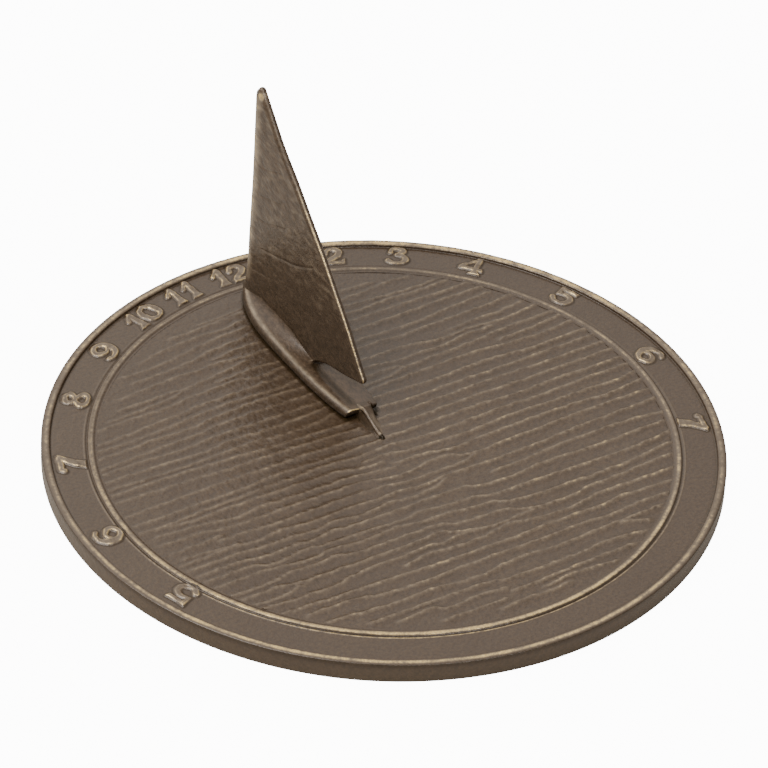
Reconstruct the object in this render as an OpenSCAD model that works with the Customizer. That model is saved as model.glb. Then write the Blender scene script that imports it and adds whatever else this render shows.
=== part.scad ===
// Garden sundial: a round cast dial plate with raised hour numerals and a rippled
// water field, and a cast sailing-boat gnomon held from below by two screws.
// Millimetres. The plate stands on z = 0, +Y is north (the noon line), +X is east.

/* [Dial plate] */
// Outside diameter of the plate at its widest
plate_d = 254; // [220:1:300]
// Height of the rim's top above the surface the plate stands on
plate_h = 7.5; // [7:0.1:12]
// Thickness of the plate's web under the ripples' troughs
web_t = 2.8; // [2.4:0.1:3.2]
// Width of the rim's raised bead
rim_w = 2; // [1.5:0.1:4]
// How far the skirt stands out past the rim's bead
skirt_bulge = 1; // [0.5:0.1:2]
// Thickness of the skirt at its foot
skirt_t = 4; // [3:0.1:6]
// Width of the flat band that holds the numerals
band_w = 13.4; // [12.5:0.1:16]
// Depth of the numeral band below the rim's top
band_drop = 1.6; // [1:0.1:2]
// Width of the raised ring inside the numeral band
ring_w = 2.7; // [1.5:0.1:4]
// Depth of the raised ring's top below the rim's top
ring_drop = 0.4; // [0:0.1:0.8]

/* [Water ripples] */
// Distance from one ripple's crest to the next
ripple_pitch = 5.6; // [4:0.1:9]
// Height of a ripple's crest above its trough
ripple_h = 0.8; // [0.3:0.1:1]
// Depth of the ripples' crests below the rim's top
ripple_drop = 1.1; // [1:0.1:1.5]

/* [Numerals] */
// Height of a numeral
digit_h = 10; // [7:0.1:11]
// Relief of a numeral above its band
digit_relief = 1; // [0.5:0.1:1.2]
// Distance from digit to digit in the hours 10, 11 and 12
digit_step = 8; // [7:0.1:9]
// Latitude in degrees that the hour numerals are set out for
latitude = 42; // [25:1:60]

/* [Boat] */
// Distance from the dial's centre to the bow
bow_y = 106; // [98:0.5:107]
// Distance from the dial's centre to the transom
stern_y = 18; // [14:0.5:24]
// Widest beam of the boat
beam = 18.8; // [16:0.1:26]
// Width of the transom
transom_w = 13.6; // [11:0.1:15]
// Height of the gunwale above the seat on the plate
freeboard = 3.6; // [3:0.1:6]
// Rise of the deck from the gunwale to its middle
deck_rise = 0.9; // [0.3:0.1:2]
// Distance from the transom to the cockpit's front wall
cockpit_l = 34; // [25:0.5:38]
// Thickness of the gunwale beside the cockpit
gunwale_w = 2.2; // [1.5:0.1:3]
// Thickness of the boat's bottom at the cockpit's deepest place
bottom_t = 0.9; // [0.8:0.1:1.5]
// Thickness of the rudder
rudder_t = 2.6; // [2:0.1:4]

/* [Sail] */
// Slope in degrees of the style, the sail's rear edge, which starts at the dial's centre
style_angle = 46; // [40:0.5:50]
// Height of the sail's tip above the seat on the plate
sail_h = 100.3; // [80:0.1:110]
// Distance from the dial's centre to the sail's lower rear corner
clew_y = 17; // [14:0.5:24]
// Thickness of the sail at its rim
sail_edge_t = 2.4; // [2:0.1:3.5]
// Thickness of the sail in its middle
sail_mid_t = 3.2; // [3:0.1:5]
// How far the rear edge curves out from a straight line
leech_round = 1.4; // [0:0.1:2]
// Slope in degrees that the front edge leans back
luff_rake = 2.3; // [0:0.1:5]

/* [Fastening] */
// Thread diameter of the two gnomon screws
screw_d = 4; // [3:0.5:4.5]
// Length of a gnomon screw under its head
screw_l = 6; // [5:0.5:6.5]
// Diameter of a screw's head
screw_head_d = 8; // [7:0.1:9]
// Height of a screw's head
screw_head_h = 2.4; // [1.8:0.1:2.4]
// Outside diameter of a lock washer
washer_d = 7.6; // [7:0.1:8.5]
// Thickness of a lock washer
washer_t = 0.9; // [0.6:0.1:1]
// Distance from the dial's centre to the rear screw
screw_rear_y = 62; // [58:0.5:70]
// Distance from the dial's centre to the front screw
screw_front_y = 86; // [80:0.5:90]
// Diameter of the tapped hole for the pedestal's bolt
pedestal_hole_d = 4.2; // [3:0.1:5]
// Depth of the tapped hole for the pedestal's bolt
pedestal_hole_l = 4.6; // [4:0.1:5]
// Diameter of the boss round the pedestal's tapped hole
pedestal_boss_d = 18; // [14:0.5:30]

/* [Hidden] */
$fn = 96;

bronze = [0.36, 0.29, 0.22];
steel = [0.62, 0.62, 0.6];

// Clearances
hole_gap = 0.25; // between a screw and its hole in the plate
thread_gap = 0.05; // between a screw and the thread it turns in
bore_gap = 0.6; // between a screw's head and its counterbore
hole_end_gap = 0.7; // past a screw's end in the gnomon
pad_inset = 0.8; // from the boat's side in to the seat it stands on
overlap = 0.5; // how far one shape of a casting runs into the next

// Radii of the plate, from the outside in
plate_r = plate_d / 2;
rim_out_r = plate_r - skirt_bulge;
rim_in_r = rim_out_r - rim_w;
ring_out_r = rim_in_r - band_w;
ring_in_r = ring_out_r - ring_w;
skirt_foot_r = plate_r - 0.4;

// Levels of the plate
band_z = plate_h - band_drop;
ring_z = plate_h - ring_drop;
seat_z = plate_h - ripple_drop;
trough_z = seat_z - ripple_h;
web_z = trough_z - web_t;
numeral_z = band_z + digit_relief;
washer_z = washer_t + screw_head_h + 0.7;
washer_seat_web = seat_z - washer_z;

// Boat
half_beam = beam / 2;
half_transom = transom_w / 2;
widest_y = stern_y + (bow_y - stern_y) * 0.45;
gunwale_z = seat_z + freeboard;
deck_z = gunwale_z + deck_rise;
bulkhead_y = stern_y + cockpit_l;
transom_t = 1.3;
gunwale_round = 0.8; // fall and width of the gunwale's rounded corner
side_flare = 0.35; // how much narrower the boat is at its bottom
rudder_end_y = 1.8;
rudder_end_h = 1.5;

// Sail
edge_r = sail_edge_t / 2;
tip_z = seat_z + sail_h;
clew_r = 1.4;
hull_steps = 18;
sail_rows = 30;
sail_columns = 10;

// Half the boat's beam at a distance y from the dial's centre
function half_width(y) =
    y < widest_y
    ? half_beam - (half_beam - half_transom) * pow((widest_y - y) / (widest_y - stern_y), 2.6)
    : half_beam * (1 - pow(min(1, (y - widest_y) / (bow_y - widest_y)), 3.4));

// The boat's outline, drawn in by inset, from one distance to another
function side_points(from_y, to_y, inset) =
    [for (i = [0:hull_steps]) let (y = from_y + (to_y - from_y) * i / hull_steps)
        [max(half_width(y) - inset, 0.1), y]];
function both_sides(points) =
    concat(points, [for (i = [len(points) - 1:-1:0]) [-points[i][0], points[i][1]]]);
module boat_outline(inset, end_inset) {
    polygon(both_sides(side_points(stern_y + end_inset, bow_y - inset, inset)));
}

// The style: height of the sail's rear edge at a distance y, on the line of the style
function style_z(y) = seat_z + y * tan(style_angle);
function style_y(z) = (z - seat_z) / tan(style_angle);

// The sail's front edge leans back, and spreads forward where it meets the deck
luff_foot_y = bow_y - 2.4;
function luff_y(z) =
    luff_foot_y - (z - deck_z) * tan(luff_rake) + 1.4 * exp(-max(z - deck_z, 0) / 7);

// The sail's rear edge follows the style above the clew and the foot below it
clew_z = style_z(clew_y) - 2;
foot_y0 = bulkhead_y + 3;
foot_low_z = seat_z + 1.2;
function foot_y(z) =
    let (t = (z - foot_low_z) / (clew_z - foot_low_z))
    foot_y0 + (clew_y - foot_y0) * (0.55 * t + 0.45 * pow(t, 2.2));
function rear_y(z) =
    z < clew_z
    ? foot_y(z)
    : let (t = (z - clew_z) / (tip_z - clew_z), round_t = min(1, (z - clew_z) / clew_r))
        style_y(z) * round_t + clew_y * (1 - round_t) - 4 * leech_round * t * (1 - t);

// One level of the sail: a thin lens from the rear edge to the front edge
function sail_half_t(u) =
    let (nose = sqrt(max(0, 1 - pow(max(0, 1 - u), 2))))
    edge_r * nose + (sail_mid_t - sail_edge_t) / 2 * min(1, u / 6);
function sail_level(z) =
    let (rear = min(rear_y(z), luff_y(z) - 2 * edge_r), front = luff_y(z), chord = front - rear,
        steps = [for (i = [0:sail_columns]) (1 - cos(180 * i / sail_columns)) / 2])
    concat(
        [for (s = steps) [sail_half_t(min(s, 1 - s) * chord / edge_r), rear + s * chord, z]],
        [for (i = [sail_columns - 1:-1:1]) let (s = steps[i])
            [-sail_half_t(min(s, 1 - s) * chord / edge_r), rear + s * chord, z]]);

// The heights of the sail's levels lie close together along its foot and at its tip
function sail_height(i) =
    let (t = i / sail_rows, tip_low = tip_z - 1.5)
    t < 0.4
    ? foot_low_z + (clew_z - foot_low_z) * t / 0.4
    : t < 0.8 ? clew_z + (tip_low - clew_z) * pow((t - 0.4) / 0.4, 1.5)
    : tip_low + (tip_z - tip_low) * sin(90 * (t - 0.8) / 0.2) * 0.999;
function sail_shrink(z) = z < tip_z - 1.5 ? 1 : sqrt(max(0.01, 1 - pow((z - tip_z + 1.5) / 1.5, 2)));
function middle(points) = [for (k = [0:2]) [for (p = points) p[k]] * [for (p = points) 1] / len(points)];
function shrunk(points, s) = let (c = middle(points)) [for (p = points) c + (p - c) * s];

module sail() {
    levels = [for (i = [0:sail_rows]) let (z = sail_height(i)) shrunk(sail_level(z), sail_shrink(z))];
    n = len(levels[0]);
    quads = [for (i = [0:sail_rows - 1], j = [0:n - 1])
        [i * n + j, i * n + (j + 1) % n, (i + 1) * n + (j + 1) % n, (i + 1) * n + j]];
    sides = [for (q = quads) each [[q[0], q[2], q[1]], [q[0], q[3], q[2]]]];
    bottom = [for (j = [0:n - 1]) j];
    top = [for (j = [n - 1:-1:0]) sail_rows * n + j];
    polyhedron([for (level = levels) each level], concat(sides, [bottom], [top]), convexity = 4);
}

module boat_body() {
    hull() {
        translate([0, 0, seat_z]) linear_extrude(0.01) boat_outline(side_flare, 0);
        translate([0, 0, gunwale_z - gunwale_round]) linear_extrude(0.01) boat_outline(0, 0);
        translate([0, 0, gunwale_z - gunwale_round * 0.3])
            linear_extrude(0.01) boat_outline(gunwale_round * 0.3, 0);
        translate([0, 0, gunwale_z - 0.01]) linear_extrude(0.01) boat_outline(gunwale_round, 0);
        translate([-0.5, stern_y, deck_z - 0.01]) cube([1, bow_y - stern_y - 3, 0.01]);
    }
}

// The cockpit is a scoop with a round floor, deepest at its front wall
module cockpit() {
    front_half = half_width(bulkhead_y) - gunwale_w;
    depth = gunwale_z - seat_z - bottom_t;
    scoop_r = (front_half * front_half + depth * depth) / (2 * depth);
    intersection() {
        translate([0, 0, seat_z])
            linear_extrude(freeboard + deck_rise + overlap)
                polygon(both_sides(side_points(stern_y + transom_t, bulkhead_y, gunwale_w)));
        translate([0, bulkhead_y, seat_z + bottom_t + scoop_r])
            rotate([90 + 2, 0, 0])
                translate([0, 0, -overlap])
                    cylinder(h = cockpit_l * 1.2, r = scoop_r);
    }
}

// The rudder falls from the transom's top to the dial's centre, with a rounded back
module rudder() {
    back_r = rudder_t / 2;
    top_z = gunwale_z - back_r;
    end_z = seat_z + rudder_end_h - back_r;
    run = stern_y + overlap - rudder_end_y;
    slope = atan((top_z - end_z) / run);
    intersection() {
        union() {
            translate([-back_r, 0, 0])
                rotate([90, 0, 90])
                    linear_extrude(rudder_t)
                        polygon([
                            [rudder_end_y, seat_z - 1], [rudder_end_y, end_z],
                            [stern_y + overlap, top_z], [stern_y + overlap, seat_z - 1]]);
            translate([0, rudder_end_y, end_z])
                rotate([-90 + slope, 0, 0])
                    cylinder(h = run / cos(slope), r = back_r);
        }
        translate([-rudder_t, rudder_end_y, seat_z])
            cube([2 * rudder_t, run, freeboard]);
    }
}

module gnomon_hole(y) {
    translate([0, y, seat_z - 1])
        cylinder(h = 1 + screw_l - washer_t - washer_seat_web + hole_end_gap, d = screw_d + 2 * thread_gap);
}

module gnomon() {
    color(bronze)
        difference() {
            union() {
                difference() {
                    boat_body();
                    cockpit();
                }
                sail();
                rudder();
            }
            gnomon_hole(screw_rear_y);
            gnomon_hole(screw_front_y);
        }
}

// A pen stroke whose points are [x, y, width], smoothed through its points
function curve(a, b, c, d, t) =
    0.5 * (2 * b + (c - a) * t + (2 * a - 5 * b + 4 * c - d) * t * t + (3 * b - a - 3 * c + d) * t * t * t);
function smooth(p, n) =
    concat(
        [for (i = [0:len(p) - 2], j = [0:n - 1])
            curve(p[max(i - 1, 0)], p[i], p[i + 1], p[min(i + 2, len(p) - 1)], j / n)],
        [p[len(p) - 1]]);
function side(q, s) =
    [for (i = [0:len(q) - 1])
        let (a = q[max(i - 1, 0)], b = q[min(i + 1, len(q) - 1)], d = [b[0] - a[0], b[1] - a[1]], l = norm(d))
        [q[i][0] - s * d[1] / l * q[i][2] / 2, q[i][1] + s * d[0] / l * q[i][2] / 2]];
module stroke(p, n = 3) {
    q = smooth(p, n);
    right = side(q, -1);
    polygon(concat(side(q, 1), [for (i = [len(right) - 1:-1:0]) right[i]]));
}
module oval(x, y, rx, ry) {
    polygon([for (a = [0:20:340]) [x + rx * cos(a), y + ry * sin(a)]]);
}

// The ten figures, each drawn 10 high about its own centre
module figure(n) {
    if (n == 0) {
        difference() {
            oval(0, 0, 4, 5);
            oval(0, 0, 1.6, 3.4);
        }
    }
    if (n == 1) {
        polygon([
            [1.5, 5], [-0.6, 5], [-3, 3.2], [-3, 1.6], [-1.3, 2.2],
            [-1.3, -3.9], [-2.4, -5], [2.4, -5], [1.5, -3.9]]);
    }
    if (n == 2) {
        stroke([[-2.6, 2, 1.8], [-2.2, 3.6, 1.8], [0, 4.2, 1.5], [2.2, 2.9, 2.4], [1.5, 0.4, 2.6],
            [-1, -2, 2.2], [-2.6, -3.8, 1.8]]);
        polygon([[-4, -5], [3.4, -5], [4, -2.2], [3, -2.2], [2.2, -3.3], [-3.4, -3.3]]);
    }
    if (n == 3) {
        difference() {
            union() {
                oval(-0.2, 2.5, 3.4, 2.5);
                oval(0, -1.9, 4, 3.1);
            }
            oval(-0.7, 2.5, 1.6, 1.1);
            oval(-0.6, -2, 2, 1.6);
            polygon([[-5, 2.6], [-0.9, 2.6], [-0.9, 1.2], [-1.8, 1], [-1.8, 0.1], [-0.9, -0.1], [-0.9, -1.8], [-5, -1.8]]);
        }
    }
    if (n == 4) {
        difference() {
            polygon([
                [2.4, 5], [0.6, 5], [-4.4, -1.2], [-4.4, -2.9], [-0.3, -2.9], [-0.3, -4], [-1, -5],
                [3.4, -5], [2.4, -4], [2.4, -2.9], [4.2, -2.9], [4.2, -1.4], [2.4, -1.4]]);
            polygon([[-0.3, 2], [-0.3, -1.4], [-2.9, -1.4]]);
        }
    }
    if (n == 5) {
        polygon([[-3, 5], [3.4, 5], [3, 2.8], [-1.5, 2.8], [-1.5, 0.4], [-3, 0]]);
        stroke([[-2.6, 0.3, 1.4], [-0.2, 1.3, 1.6], [2.3, 0.2, 2.2], [2.6, -2.2, 2.6], [0.8, -4.1, 1.7], [-1.6, -4.1, 1.6],
            [-3.1, -2.8, 2]]);
    }
    if (n == 6) {
        difference() {
            oval(0, -1.6, 4, 3.4);
            oval(0.2, -1.7, 1.6, 1.8);
        }
        stroke([[-2.7, -1.6, 2.6], [-2.2, 1.6, 2.6], [-0.2, 3.8, 1.9], [1.8, 4, 1.8], [2.7, 2.8, 2]]);
    }
    if (n == 7) {
        polygon([[-4.2, 5], [4.2, 5], [4.2, 3.2], [1.7, -5], [-2.2, -5], [1.4, 2.8], [-3, 2.8], [-3.6, 1.4], [-4.2, 1.4]]);
    }
    if (n == 8) {
        difference() {
            union() {
                oval(0, 2.5, 3.5, 2.5);
                oval(0, -2, 4.1, 3);
            }
            oval(0.1, 2.5, 1.4, 1.1);
            oval(0.1, -2.1, 1.6, 1.4);
        }
    }
    if (n == 9) {
        rotate(180) figure(6);
    }
}

// Where an hour's line leaves the dial's centre, in degrees east of noon
function hour_angle(hours) = atan2(sin(latitude) * sin(15 * hours), cos(15 * hours));
numeral_r = (rim_in_r + ring_out_r) / 2;
module numeral(hours) {
    n = hours > 0 ? hours : hours + 12;
    tens = floor(n / 10);
    units = n % 10;
    rotate(-hour_angle(hours))
        translate([0, numeral_r, band_z - overlap])
            linear_extrude(digit_relief + overlap)
                scale(digit_h / 10) {
                    if (tens > 0) {
                        translate([-digit_step / 2 * 10 / digit_h, 0]) figure(tens);
                    }
                    translate([tens > 0 ? digit_step / 2 * 10 / digit_h : 0, 0]) figure(units);
                }
}

// The plate turned about its axis, without ripples
module plate_shell() {
    shoulder_r = skirt_bulge + 1;
    rotate_extrude($fn = 180) {
        // Skirt and rim
        difference() {
            union() {
                polygon([
                    [skirt_foot_r - skirt_t, 0], [skirt_foot_r, 0], [plate_r, 2.5],
                    [plate_r, plate_h - shoulder_r], [rim_in_r, plate_h - shoulder_r],
                    [rim_in_r, band_z], [ring_in_r, band_z], [ring_in_r, web_z], [skirt_foot_r - skirt_t - web_z, web_z]]);
                translate([plate_r - shoulder_r, plate_h - shoulder_r]) circle(shoulder_r);
                translate([rim_in_r, plate_h - shoulder_r]) square([rim_out_r - 1 - rim_in_r, shoulder_r]);
            }
        }
        // Raised inner ring
        translate([ring_in_r, band_z - overlap]) square([ring_w, ring_z - band_z + overlap - 0.3]);
        translate([ring_in_r + 0.3, band_z - overlap]) square([ring_w - 0.6, ring_z - band_z + overlap]);
    }
}

// The field's section runs north to south: round crests with wider troughs between
ripple_count = floor(ring_in_r / ripple_pitch);
ripple_half = [[0, 0], [0.09, 0.12], [0.2, 0.5], [0.34, 0.85], [0.5, 1], [0.66, 0.85], [0.8, 0.5], [0.91, 0.12]];
module water_field() {
    first = -(ripple_count + 0.5) * ripple_pitch;
    crest = [for (i = [0:2 * ripple_count], p = ripple_half)
        [first + (i + p[0]) * ripple_pitch, trough_z + ripple_h * p[1]]];
    intersection() {
        translate([-plate_r, 0, 0])
            rotate([90, 0, 90])
                linear_extrude(plate_d)
                    polygon(concat(
                        [[-plate_r, web_z], [-plate_r, trough_z]], crest,
                        [[plate_r, trough_z], [plate_r, web_z]]));
        cylinder(h = plate_h, r = ring_in_r + overlap, $fn = 180);
    }
}

// The flat island that the boat and its rudder stand on
module boat_seat() {
    translate([0, 0, trough_z - overlap])
        linear_extrude(seat_z - trough_z + overlap) {
            boat_outline(side_flare + pad_inset, pad_inset);
            translate([pad_inset - rudder_t / 2, rudder_end_y + pad_inset])
                square([rudder_t - 2 * pad_inset, stern_y]);
        }
}

module screw_hole(y) {
    translate([0, y, -1]) {
        cylinder(h = washer_z + 1, d = screw_head_d + 2 * bore_gap);
        cylinder(h = seat_z + 2, d = screw_d + 2 * hole_gap);
    }
}

module dial_plate() {
    color(bronze)
        difference() {
            union() {
                plate_shell();
                water_field();
                boat_seat();
                for (hours = [-7:7]) {
                    numeral(hours);
                }
                cylinder(h = web_z + overlap, d = pedestal_boss_d);
            }
            screw_hole(screw_rear_y);
            screw_hole(screw_front_y);
            translate([0, 0, -1]) cylinder(h = pedestal_hole_l + 1, d = pedestal_hole_d);
        }
}

module gnomon_screw(y) {
    head_top_z = washer_z - washer_t;
    slot_w = 1.2;
    slot_depth = 0.9;
    translate([0, y, head_top_z - screw_head_h])
        difference() {
            union() {
                translate([0, 0, 0.6]) cylinder(h = screw_head_h - 0.6, d = screw_head_d);
                cylinder(h = 0.6, d1 = screw_head_d - 1.2, d2 = screw_head_d);
                cylinder(h = screw_head_h + screw_l, d = screw_d);
            }
            translate([-screw_head_d, -slot_w / 2, -1]) cube([2 * screw_head_d, slot_w, 1 + slot_depth]);
        }
}
module gnomon_screws() {
    color(steel) {
        gnomon_screw(screw_rear_y);
        gnomon_screw(screw_front_y);
    }
}

// A split spring washer between a screw's head and the plate
module lock_washer(y) {
    translate([0, y, washer_z - washer_t])
        difference() {
            cylinder(h = washer_t, d = washer_d);
            translate([0, 0, -1]) cylinder(h = washer_t + 2, d = screw_d + 0.2);
            translate([0, -0.3, -1]) cube([washer_d, 0.6, washer_t + 2]);
        }
}
module lock_washers() {
    color(steel) {
        lock_washer(screw_rear_y);
        lock_washer(screw_front_y);
    }
}

dial_plate();
gnomon();
gnomon_screws();
lock_washers();
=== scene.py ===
"""Looks of the cast sundial: camera, light, the dial plate's relief, the boat and its metal."""

import math

import bpy
import numpy as np
from mathutils import Matrix, Vector
from mathutils.geometry import delaunay_2d_cdt


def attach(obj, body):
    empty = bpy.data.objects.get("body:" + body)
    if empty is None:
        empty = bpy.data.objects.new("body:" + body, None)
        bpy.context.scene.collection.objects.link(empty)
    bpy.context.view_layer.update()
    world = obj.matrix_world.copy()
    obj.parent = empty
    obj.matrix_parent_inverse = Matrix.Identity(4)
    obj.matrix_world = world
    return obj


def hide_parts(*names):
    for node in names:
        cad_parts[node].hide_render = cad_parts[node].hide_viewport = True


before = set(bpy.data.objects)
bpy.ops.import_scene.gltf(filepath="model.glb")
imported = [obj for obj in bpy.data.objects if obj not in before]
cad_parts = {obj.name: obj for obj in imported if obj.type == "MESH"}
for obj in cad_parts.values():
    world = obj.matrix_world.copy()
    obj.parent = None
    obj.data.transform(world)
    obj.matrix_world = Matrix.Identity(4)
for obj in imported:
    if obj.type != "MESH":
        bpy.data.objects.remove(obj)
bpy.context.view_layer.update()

# Sizes are in millimetres, and heights are counted from the top of the solid's rim
MM = 0.001
RIM_TOP = 7.5
BAND_Z = -0.8
FIELD_Z = -1.5
RING_Z = -0.5
PLATE_R = 127.0
RIM_R = 123.7
BAND_R = 117.1
FIELD_R = 107.6
RING_R = 109.75
GROOVE_R = 110.85
WEB_Z = 2.8 - RIM_TOP

# All that lies inside the rim and above the web's lower face is a little smaller and off centre
INNER_SCALE = 0.996
OFF_CENTRE = np.array([0.45, -0.15, 0.0])
RIM_FOOT_R = 123.6
INNER_R = 122.0
WEB_CLEAR_Z = -4.5


def smooth(low, high, x):
    """0 below low and 1 above high, with a soft step between them."""
    t = np.clip((x - low) / (high - low), 0, 1)
    return t * t * (3 - 2 * t)


def inside_rim(radius):
    """0 at the rim's foot and 1 a little further in."""
    return smooth(RIM_FOOT_R, INNER_R, radius)


def bump(x, middle, width):
    """1 at the middle, fading to 0 on both sides."""
    return np.exp(-(((x - middle) / width) ** 2))


def noise(x, y, cell, seed):
    """Soft noise from -1 to 1 whose lumps are about as wide as cell."""
    table = np.random.default_rng(seed).uniform(-1, 1, (256, 256))
    u = (0.8 * np.asarray(x) + 0.6 * np.asarray(y)) / cell + 1000
    v = (0.8 * np.asarray(y) - 0.6 * np.asarray(x)) / cell + 1000
    i = np.floor(u).astype(int)
    j = np.floor(v).astype(int)
    s = u - i
    t = v - j
    s = s * s * (3 - 2 * s)
    t = t * t * (3 - 2 * t)
    low = table[i % 256, j % 256] * (1 - s) + table[(i + 1) % 256, j % 256] * s
    high = table[i % 256, (j + 1) % 256] * (1 - s) + table[(i + 1) % 256, (j + 1) % 256] * s
    return low * (1 - t) + high * t


def curve_through(points, steps):
    """A smooth curve through points of any number of columns."""
    p = np.array(points, float)
    p = np.vstack([2 * p[0] - p[1], p, 2 * p[-1] - p[-2]])
    out = []
    for i in range(1, len(p) - 2):
        a, b, c, d = p[i - 1: i + 3]
        for t in np.arange(steps) / steps:
            out.append(0.5 * (2 * b + (c - a) * t + (2 * a - 5 * b + 4 * c - d) * t ** 2
                              + (3 * b - a - 3 * c + d) * t ** 3))
    out.append(p[-2])
    return np.array(out)


class Skin:
    """Collects patches of one piece and makes one mesh of them."""

    def __init__(self):
        self.points = []
        self.faces = []
        self.wear_and_painted_light = []
        self.polish = []
        self.count = 0

    def patch(self, points, wear_and_painted_light=0.0, polish=0.0, around=False, caps=()):
        """A grid of points, rows by columns. around joins the last column to the first."""
        rows, columns = points.shape[:2]
        index = np.arange(rows * columns).reshape(rows, columns) + self.count
        if around:
            index = np.hstack([index, index[:, :1]])
        quads = np.stack([index[:-1, :-1], index[:-1, 1:], index[1:, 1:], index[1:, :-1]], -1)
        self.faces.extend(quads.reshape(-1, 4).tolist())
        for row in caps:
            ring = index[row, :columns].tolist()
            self.faces.append(ring if row else ring[::-1])
        self.points.append(points.reshape(-1, 3))
        self.wear_and_painted_light.append(np.broadcast_to(wear_and_painted_light, (rows, columns)).reshape(-1))
        self.polish.append(np.broadcast_to(polish, (rows, columns)).reshape(-1))
        self.count += rows * columns

    def loose(self, points, faces, wear_and_painted_light=0.0):
        """Points with faces of their own, each face a list of point numbers."""
        self.points.append(points)
        self.faces.extend([[i + self.count for i in face] for face in faces])
        self.wear_and_painted_light.append(np.broadcast_to(wear_and_painted_light, len(points)))
        self.polish.append(np.zeros(len(points)))
        self.count += len(points)

    def build(self, name, node, material):
        """Shifts what lies inside the rim, makes the mesh and gives it to its node and slot."""
        points = np.vstack(self.points)
        radius = np.hypot(points[:, 0], points[:, 1])
        inner = (inside_rim(radius) * (points[:, 2] > WEB_CLEAR_Z))[:, None]
        points = points * (1 + (INNER_SCALE - 1) * inner) + OFF_CENTRE * inner
        points[:, 2] += RIM_TOP
        mesh = bpy.data.meshes.new(name)
        mesh.from_pydata((points * MM).tolist(), [], self.faces)
        mesh.polygons.foreach_set("use_smooth", np.ones(len(mesh.polygons), bool))
        for key, values in (("wear_and_painted_light", self.wear_and_painted_light), ("polish", self.polish)):
            layer = mesh.attributes.new(key, "FLOAT", "POINT")
            layer.data.foreach_set("value", np.concatenate(values).astype(np.float32))
        mesh.materials.append(material)
        mesh.update()
        piece = bpy.data.objects.new(name, mesh)
        bpy.context.collection.objects.link(piece)
        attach(piece, "root")
        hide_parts(node)
        return piece


# Materials
# The darkest colour: dark patina in real hollows, and also painted shade in contact lines, under the transom
# and on shaded faces.
DARK_PATINA_AND_SHADE = (0.018, 0.012, 0.004)
GOLD_DARK = (0.60, 0.42, 0.18)
GOLD_LIGHT = (0.92, 0.69, 0.33)
BUMP_DEPTH = 0.3 * MM


def node_tree(name):
    material = bpy.data.materials.new(name)
    material.use_nodes = True
    tree = material.node_tree
    return material, tree, tree.nodes["Principled BSDF"]


def add(tree, kind, inputs=(), **settings):
    """A node of that kind. inputs names a socket and gives a value or another node's socket."""
    node = tree.nodes.new(kind)
    for key, value in settings.items():
        setattr(node, key, value)
    for key, value in dict(inputs).items():
        if isinstance(value, bpy.types.NodeSocket):
            tree.links.new(value, node.inputs[key])
        else:
            node.inputs[key].default_value = value
    return node


def grain(tree, place, scale, detail=3.0, rough=0.55):
    """Noise from 0 to 1 at that many lumps a metre."""
    return add(tree, "ShaderNodeTexNoise", {"Vector": place, "Scale": scale, "Detail": detail,
                                            "Roughness": rough}).outputs["Fac"]


def between(tree, value, low, high, to_low=0.0, to_high=1.0):
    return add(tree, "ShaderNodeMapRange", {"Value": value, "From Min": low, "From Max": high,
                                            "To Min": to_low, "To Max": to_high}).outputs["Result"]


def times(tree, a, b):
    return add(tree, "ShaderNodeMath", {0: a, 1: b}, operation="MULTIPLY").outputs["Value"]


def colours(tree, factor, a, b):
    mix = add(tree, "ShaderNodeMix", data_type="RGBA")
    tree.links.new(factor, mix.inputs["Factor"])
    for socket, value in ((mix.inputs[6], a), (mix.inputs[7], b)):
        if isinstance(value, bpy.types.NodeSocket):
            tree.links.new(value, socket)
        else:
            socket.default_value = (*value, 1.0)
    return mix.outputs[2]


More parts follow.
